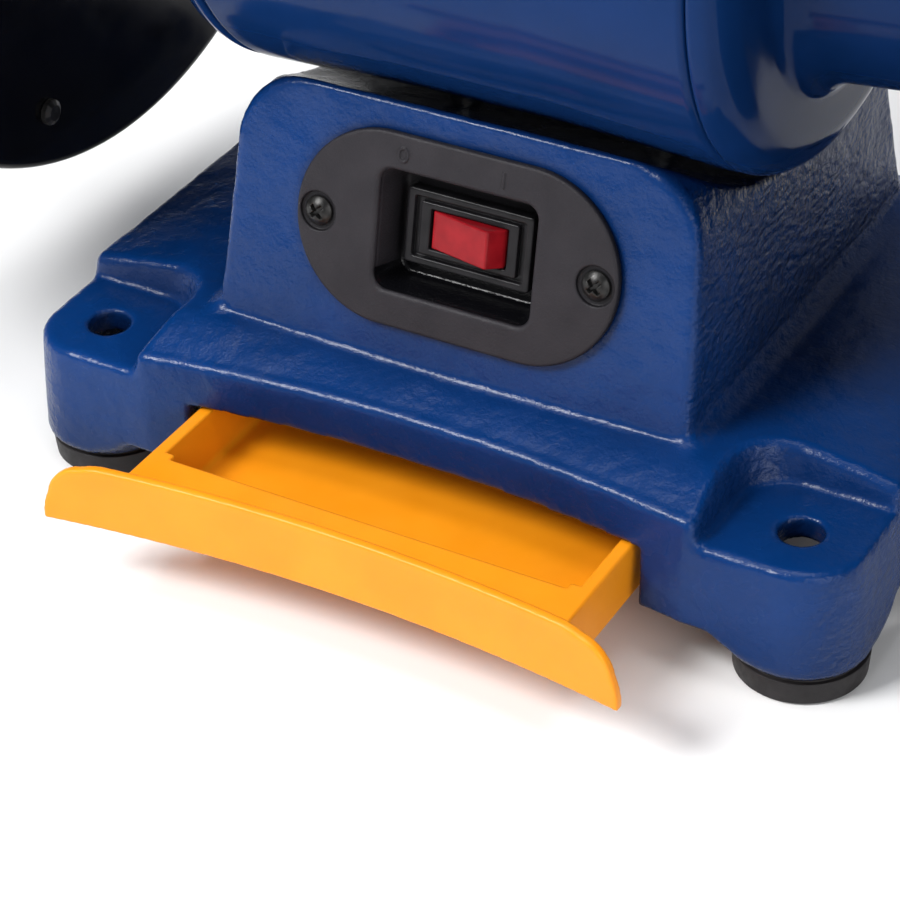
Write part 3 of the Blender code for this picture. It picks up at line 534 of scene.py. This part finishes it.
def front_edge(ax):
    return FRONT_MID + FRONT_SAG * (ax / FRONT_RUN) ** 2


def base_plan(ax, ay):
    """The base in plan, its long edges hollow and its corners round."""
    slope = 2 * FRONT_SAG * ax / FRONT_RUN**2
    hollow = (ay - front_edge(ax)) / np.sqrt(1 + slope**2)
    block = rounded_rect(ax, ay, CORNER_X + CORNER_R, CORNER_Y + CORNER_R, CORNER_R)
    return np.maximum(block, hollow)


def pedestal_field(ax, ay, z):
    front = (ay - PED_Y) * math.cos(LEAN) + (z - PED_Z) * math.sin(LEAN)
    h = (z - PED_Z) / math.cos(LEAN)
    side = ax + SIDE_TAPER * (np.minimum(h, SHOULDER_H) - SHOULDER_H)
    edge_x = PED_X - SIDE_TAPER * SHOULDER_H
    profile = capped_curve(side - SHOULDER_X, h - SHOULDER_H, edge_x - SHOULDER_X, TOP_H - SHOULDER_H)
    return np.maximum(round_and(front, profile, 2.2), PED_Z - 4.0 - z), front


def hollows(ax, ay, y, z, plan):
    """What is open inside and under the casting."""
    taper = z - PED_Z
    room = [
        np.maximum(plan + WALL, z - 31.5),
        np.maximum(np.maximum(ax - 71.5, ay - 72.5), z - ROOF_Z),
        np.maximum(np.maximum(ax - 106.0, ay - 46.0), z - ROOF_Z),
        np.maximum(
            np.maximum(
                ax - (PED_X - WALL - SIDE_TAPER * taper), ay - (PED_Y - WALL - math.tan(LEAN) * taper)
            ),
            z - BRIDGE_Z,
        ),
        np.maximum(np.maximum(ax - MOUTH_HALF, y + 66.0), z - MOUTH_TOP),
    ]
    found = room[0]
    for each in room[1:]:
        found = np.minimum(found, each)
    return found


def base_field(x, y, z):
    ax, ay = np.abs(x), np.abs(y)
    plan = base_plan(ax, ay)
    foot = np.hypot(ax - FOOT_X, ay - FOOT_Y)

    rise_x = (CORNER_X + CORNER_R - 2.8 - ax) / 41.0
    rise_y = (np.minimum(front_edge(ax), CORNER_Y + CORNER_R) - 2.8 - ay) / 15.0
    short = 1 - np.clip(np.minimum(rise_x, rise_y), 0, 1)
    top = CROWN_Z - 4.5 * short**1.5
    bottom = WALL_BOTTOM_Z - (WALL_BOTTOM_Z - FOOT_H) * (1 - ease(16.0, 25.0, foot))
    walls = plan - 1.2 * (DECK_Z - 2.6 - z) / 26.0
    slab = round_and(walls, z - top, 2.3)
    slab = round_and(slab, bottom - z, 1.2)
    boss = round_and(foot - (16.1 - 0.018 * (z - FOOT_H)), FOOT_H - z, 1.0)
    body = np.minimum(slab, np.maximum(boss, z - 34.0))

    pedestal, front = pedestal_field(ax, ay, z)
    fold = 1.3 + 4.2 * ease(60.0, 69.0, ax)
    body = round_or(body, pedestal, fold)
    body = round_and(body, SADDLE_R - np.hypot(y, z - AXIS_Z), 1.6)

    lean = 0.25 * (z - PAD_Z) - 0.9
    pocket = round_and(PAD_X - lean - ax, PAD_Y - lean - ay, PAD_R)
    pocket = round_and(pocket, PAD_Z - z, 1.4)
    body = round_and(body, -pocket, 2.1)
    body = round_and(body, HOLE_R - np.hypot(ax - HOLE_X, ay - HOLE_Y), 0.8)
    body = round_and(body, -hollows(ax, ay, y, z, plan), 0.7)

    u, v = x - PLATE_X, (z - PED_Z) / math.cos(LEAN) - PLATE_H
    window = np.maximum(np.maximum(np.abs(u) - 24.2, np.abs(v) - 18.2), np.maximum(-12.0 - front, y))
    return np.maximum(body, -window)


def roughen(mesh, waves):
    """Moves each point along its normal by noise, waves = ((size, depth), ...) in mm."""
    normals = [Vector(each.vector) for each in mesh.vertex_normals]
    for vertex, normal in zip(mesh.vertices, normals):
        at = vertex.co / MM
        shift = sum(depth * noise.noise(at / size) for size, depth in waves)
        vertex.co += normal * shift * MM


def make_base():
    mesh = skin("base_shell", base_field, (-118, -90, 5), (118, 90, 118), 0.9)
    roughen(mesh, ((17.0, 0.35), (6.0, 0.16), (2.7, 0.08)))
    piece("base_shell", mesh, "cast_enamel", "stand", ("base_casting",), upright())


# Coolant tray -------------------------------------------------------------------------------------


def tray_field(x, y, z):
    ax = np.abs(x)
    panel_y = PANEL_MID_Y + PANEL_SAG * (ax / PANEL_HALF) ** 2
    steep = np.sqrt(1 + (2 * PANEL_SAG * ax / PANEL_HALF**2) ** 2)

    flank = ax - (TRAY_HALF - 0.04 * np.maximum(TRAY_Z1 - 3.0 - z, 0))
    plan = round_and(flank, y - TRAY_BACK, 2.0)
    plan = np.maximum(plan, (-y - panel_y + PANEL_T / 2) / steep)
    body = round_and(np.maximum(plan, TRAY_Z0 - z), z - TRAY_Z1, 0.45)
    draft = 0.07 * (TRAY_Z1 - z)
    mid = (CAVITY_BACK - CAVITY_FRONT) / 2
    long = (CAVITY_BACK + CAVITY_FRONT) / 2
    cavity = rounded_rect(x, y - mid, CAVITY_HALF - draft, long - draft, 1.6)
    cavity = round_and(cavity, TRAY_Z0 + CAVITY_FLOOR - z, 1.5)
    post = np.maximum(CAVITY_HALF - 2.6 - ax, y + CAVITY_FRONT - 2.2)
    cavity = np.maximum(cavity, -post)
    body = round_and(body, -cavity, 0.4)
    under = np.maximum(np.maximum(ax - 54.0, np.abs(y + 111.0) - 4.2), z - TRAY_Z1 + 2.5)
    step = np.maximum(z - PANEL_Z0, y + CAVITY_FRONT + 2.5)
    body = np.maximum(body, -np.minimum(under, step))

    sheet = np.abs(-y - panel_y + PANEL_T / 2) / steep - PANEL_T / 2
    end_z = PANEL_Z0 + 1.0
    outline = capped_curve(ax - (PANEL_HALF - PANEL_ROUND), z - end_z, PANEL_ROUND, PANEL_Z1 - end_z)
    outline = np.minimum(outline, rounded_rect(ax, z - end_z, PANEL_HALF - 1.5, PANEL_Z1 - end_z - 1.2, 10.0))
    panel = round_and(round_and(sheet, outline, 0.6), PANEL_Z0 - z, 0.5)
    return round_or(body, panel, 0.5)


def make_tray():
    mesh = skin("tray_shell", tray_field, (-80, -128, 13), (80, 10, 38.5), 0.5)
    piece("tray_shell", mesh, "tray_plastic", "tray", ("coolant_tray",), upright())


# Switch -------------------------------------------------------------------------------------------


def plate_field(u, v, w):
    outline = np.hypot(np.maximum(np.abs(u) - (PLATE_HALF - PLATE_R), 0), v) - PLATE_R
    plate = round_and(np.maximum(outline, PLATE_Z0 - w), w - PLATE_Z1, 0.8)
    tub = np.maximum(rounded_rect(u, v, 23.6, 17.6, 4.0), np.maximum(TUB_Z - 1.6 - w, w - PLATE_Z0 - 1))
    plate = np.minimum(plate, tub)
    slope = 1.8 * (PLATE_Z1 - w) / (PLATE_Z1 - TUB_Z)
    recess = rounded_rect(u, v, WINDOW_X - slope, WINDOW_Y - slope, 3.5)
    recess = round_and(recess, TUB_Z - w, 1.0)
    plate = round_and(plate, -recess, 1.1)
    for side in (-1, 1):
        bore = np.maximum(np.hypot(u - side * SCREW_DX, v) - 4.95, PLATE_Z1 - 1.1 - w)
        plate = round_and(plate, -bore, 0.35)
        plate = np.maximum(plate, 2.1 - np.hypot(u - side * SCREW_DX, v))
    through = rounded_rect(u, v, 15.2, 8.2, 0.8)
    plate = np.maximum(plate, -through)
    off_mark = np.abs(np.hypot((u + 15.2) / 0.8, v - 19.6) - 1.6) - 0.34
    on_mark = rounded_rect(u - 11.8, v - 19.6, 0.36, 1.9, 0.2)
    marks = np.maximum(np.minimum(off_mark, on_mark), np.abs(w - PLATE_Z1) - 0.34)
    return np.minimum(plate, marks)


def housing_field(u, v, w):
    flange_z = TUB_Z + 0.3
    bezel = rounded_rect(u, v, BEZEL_X, BEZEL_Y, 1.0)
    body = round_and(np.maximum(bezel, flange_z - w), w - BEZEL_Z, 0.5)
    switch = np.maximum(rounded_rect(u, v, 14.8, 7.8, 0.8), np.maximum(-26 - w, w - BEZEL_Z + 2.5))
    body = np.minimum(body, switch)
    trench = rounded_rect(u, v, BEZEL_X - 2.0, BEZEL_Y - 1.9, 0.7)
    core = rounded_rect(u, v, INNER_X, INNER_Y, 0.5)
    trench = np.maximum(np.maximum(trench, -core), BEZEL_Z - 1.6 - w)
    body = round_and(body, -trench, 0.3)
    well = np.maximum(rounded_rect(u, v, ROCKER_X + 0.4, ROCKER_Y + 0.3, 0.3), BEZEL_Z - 8 - w)
    return round_and(body, -well, 0.25)


def rocker_field(u, v, w):
    """Its right end stands proud: a long face climbs to a ridge, and the end wall falls away from it."""
    h = w - BEZEL_Z
    climb = (h - 4.0) - (u - 7.0) * (4.4 / 16.9)
    end = ((u - 7.0) * 4.0 + (h - 4.0) * 3.0) / 5.0
    belly = -6.4 + 0.18 * np.abs(u) - h
    sides = rounded_rect(u, v, ROCKER_X - 0.2, ROCKER_Y, 0.25)
    crown = round_and(climb * 0.967, end, 0.35)
    return np.maximum(round_and(sides, crown, 0.3), belly)


def pan_head_field(u, v, w):
    """A pan head on its shank, with a cross recess turned 45 degrees."""
    low = PLATE_Z1 - 0.8
    radius, dome = 3.9, 5.2
    head = np.sqrt(u * u + v * v + (w - low - 1.95 + dome) ** 2) - dome
    head = round_and(head, np.hypot(u, v) - radius, 0.35)
    head = np.maximum(head, low - w)
    shank = np.maximum(np.hypot(u, v) - 1.6, np.maximum(w - low - 0.5, -7.0 - w))
    p, q = (u + v) * math.sqrt(0.5), (u - v) * math.sqrt(0.5)
    deep = np.maximum(w - low - 0.35, 0)
    arm = np.minimum(
        np.maximum(np.abs(p) - 1.6 - deep * 0.5, np.abs(q) - 0.42 - deep * 0.12),
        np.maximum(np.abs(q) - 1.6 - deep * 0.5, np.abs(p) - 0.42 - deep * 0.12),
    )
    cross = np.maximum(arm, low + 0.35 - w)
    return round_and(np.minimum(head, shank), -cross, 0.12)


def make_switch():
    face = on_face(PLATE_X, PLATE_H)
    mesh = skin("plate_shell", plate_field, (-45, -26, -11.2), (45, 26, 3.6), 0.3)
    piece("plate_shell", mesh, "plate_plastic", "stand", ("switch_plate",), face)
    mesh = skin("switch_bezel", housing_field, (-18, -11, -27), (18, 11, -3.5), 0.2)
    piece("switch_bezel", mesh, "black_gloss", "stand", ("switch_housing",), face)
    mesh = skin("rocker_lens", rocker_field, (-11, -5.5, -13), (11, 5.5, 0.2), 0.18)
    piece("rocker_shell", mesh, "red_lens", "rocker_lens", ("rocker",), face)
    head = skin("pan_head", pan_head_field, (-4.5, -4.5, -8), (4.5, 4.5, 4.2), 0.16)
    for side, sx in SIDES:
        at = face @ Matrix.Translation((sx * SCREW_DX, 0, 0))
        piece(f"pan_head_{side}", head.copy(), "black_steel", "stand", (f"plate_screw_{side}",), at)


# Feet ---------------------------------------------------------------------------------------------


def make_feet():
    low = FOOT_H - 0.3
    profile = eased(
        (
            (11.6, 8.9), (1.8, 8.9), (1.8, 3.0), (0.6, 3.0), (0.6, 7.0), (0.0, 8.0), (0.0, 15.0),
            (0.5, 16.1), (6.4, FOOT_R), (6.6, FOOT_R - 0.1), (6.8, FOOT_R - 0.9), (7.1, FOOT_R - 1.0),
            (low, 15.8), (low, 9.4), (11.6, 9.2),
        ),
        0.35,
    )
    for end, sy in ENDS:
        for side, sx in SIDES:
            mesh = spun(f"foot_{end}_{side}_shell", profile, 72, closed=True)
            at = upright(sx * FOOT_X, sy * FOOT_Y)
            piece(f"foot_{end}_{side}_shell", mesh, "foot_rubber", "stand", (f"foot_{end}_{side}",), at)


# Motor --------------------------------------------------------------------------------------------


def make_motor():
    half = [
        (20, BARREL_R), (BARREL_HALF - 1.4, BARREL_END_R), (BARREL_HALF, BARREL_END_R - 0.9),
        (BARREL_HALF, 62.0),
    ]
    profile = eased([(-a, r) for a, r in reversed(half)] + half, 0.7)
    mesh = spun("barrel_shell", profile, 160, closed=True)
    piece("barrel_shell", mesh, "gloss_enamel", "stand", ("motor_housing",), along_x())
    for side, sx in SIDES:
        bell = eased(
            (
                (60.0, 57.0), (60.0, 61.6), (65.1, 61.6), (65.1, 69.4), (66.2, 70.1), (69.6, 69.2),
                (72.9, 66.4), (74.7, 62.0), (75.0, 57.0), (75.3, 49.5), (77.5, 46.8), (82.0, 45.0),
                (124.0, 41.5), (127.0, 43.0),
                (128.2, 49.0), (129.5, 50.0), (134.7, 50.0), (134.7, 12.5), (112.4, 12.5), (112.4, 20.3),
                (98.0, 20.3), (94.0, 32.0), (72.0, 40.0), (69.0, 57.0), (62.0, 57.0),
            ),
            1.6,
        )
        mesh = spun(f"bell_{side}", bell, 128, closed=True)
        piece(f"bell_{side}", mesh, "gloss_enamel", "stand", (f"end_bell_{side}",), along_x(side=sx))


# Guards, wheels and what is on them ---------------------------------------------------------------


MOUTH = ((-160, -14), (-78, -14), (-70, 0), (-66, 30), (-72, 78), (-100, 105), (-160, 105))


def mouth_cutter(name, sx):
    """A prism through the guard where the tool reaches the wheel."""
    bm = bmesh.new()
    rings = []
    for x in (GUARD_X0 - 5, GUARD_X1 + 12):
        rings.append([bm.verts.new((sx * x * MM, (AXIS_Y + y) * MM, (AXIS_Z + z) * MM)) for y, z in MOUTH])
    for i in range(len(MOUTH)):
        j = (i + 1) % len(MOUTH)
        bm.faces.new((rings[0][i], rings[0][j], rings[1][j], rings[1][i]))
    bm.faces.new(rings[0])
    bm.faces.new(rings[1])
    bmesh.ops.recalc_face_normals(bm, faces=bm.faces)
    mesh = bpy.data.meshes.new(name)
    bm.to_mesh(mesh)
    bm.free()
    obj = bpy.data.objects.new(name, mesh)
    bpy.context.scene.collection.objects.link(obj)
    return obj


def carve(obj, cutter):
    """Cuts the mesh of obj by the cutter, for good."""
    modifier = obj.modifiers.new("cut", "BOOLEAN")
    modifier.operation = "DIFFERENCE"
    modifier.object = cutter
    graph = bpy.context.evaluated_depsgraph_get()
    mesh = bpy.data.meshes.new_from_object(obj.evaluated_get(graph))
    obj.modifiers.clear()
    mesh.name = obj.data.name
    obj.data = mesh
    mesh.shade_smooth()
    mesh.set_sharp_from_angle(angle=math.radians(42))


def make_guards():
    for side, sx in SIDES:
        axle = along_x(side=sx)
        inner = GUARD_R - SHEET
        skin_profile = eased(
            (
                (GUARD_X0 + SHEET, 26.0), (GUARD_X0, 26.0), (GUARD_X0, GUARD_R - 0.2), (GUARD_X1, GUARD_R),
                (GUARD_X1, inner), (GUARD_X0 + SHEET, inner - 0.2), (GUARD_X0 + SHEET, 26.4),
            ),
            3.0, 5,
        )
        mesh = spun(f"guard_{side}_shell", skin_profile, 160, closed=True)
        guard = piece(f"guard_{side}_shell", mesh, "guard_enamel", "stand", (f"guard_{side}",), axle)
        cover_profile = eased(((188.3, 0), (188.3, GUARD_R), (COVER_X, GUARD_R), (COVER_X, 0)), 0.9)
        mesh = spun(f"guard_cover_{side}_shell", cover_profile, 160)
        replaced = (f"guard_cover_{side}",)
        cover = piece(f"guard_cover_{side}_shell", mesh, "guard_enamel", "stand", replaced, axle)
        cutter = mouth_cutter(f"mouth_{side}", sx)
        for each in (guard, cover):
            carve(each, cutter)
        bpy.data.objects.remove(cutter)


def make_wheels():
    for side, sx in SIDES:
        axle = along_x(side=sx)
        wheel = ((WHEEL_X0, 8.4), (WHEEL_X0, WHEEL_R), (WHEEL_X1, WHEEL_R), (WHEEL_X1, 8.4))
        mesh = spun(f"wheel_{side}_shell", eased((*wheel, wheel[0], wheel[1]), 1.2)[:-1], 144)
        piece(f"wheel_{side}_shell", mesh, "abrasive", "spindle", (f"wheel_{side}",), axle)


# Carried-over CAD nodes ---------------------------------------------------------------------------

FINISHES = {
    "cover_plate": "zinc_steel", "cover_screw": "zinc_steel", "tray_runner": "zinc_steel",
    "stator_core": "lamination", "winding": "copper_wire", "rotor": "lamination", "shaft": "turned_steel",
    "bearing": "turned_steel", "motor_bolt": "zinc_steel", "capacitor": "black_satin",
    "cord_gland": "black_satin", "guard_screw": "zinc_steel", "lug_screw": "black_steel",
    "inner_flange": "turned_steel", "outer_flange": "turned_steel", "arbor_nut": "zinc_steel",
    "tool_rest": "zinc_steel", "rest_knob": "black_satin", "shield_bracket": "guard_enamel",
    "eye_shield": "clear_plastic",
}


def finish_cad_nodes():
    for name, obj in NODES.items():
        if obj.hide_render:
            continue
        kind = next(finish for start, finish in FINISHES.items() if name.startswith(start))
        obj.data.materials.clear()
        obj.data.materials.append(MATERIALS[kind])


MATERIALS = make_materials()
make_camera()
make_studio()
make_base()
make_tray()
make_switch()
make_feet()
make_motor()
make_guards()
make_wheels()
finish_cad_nodes()
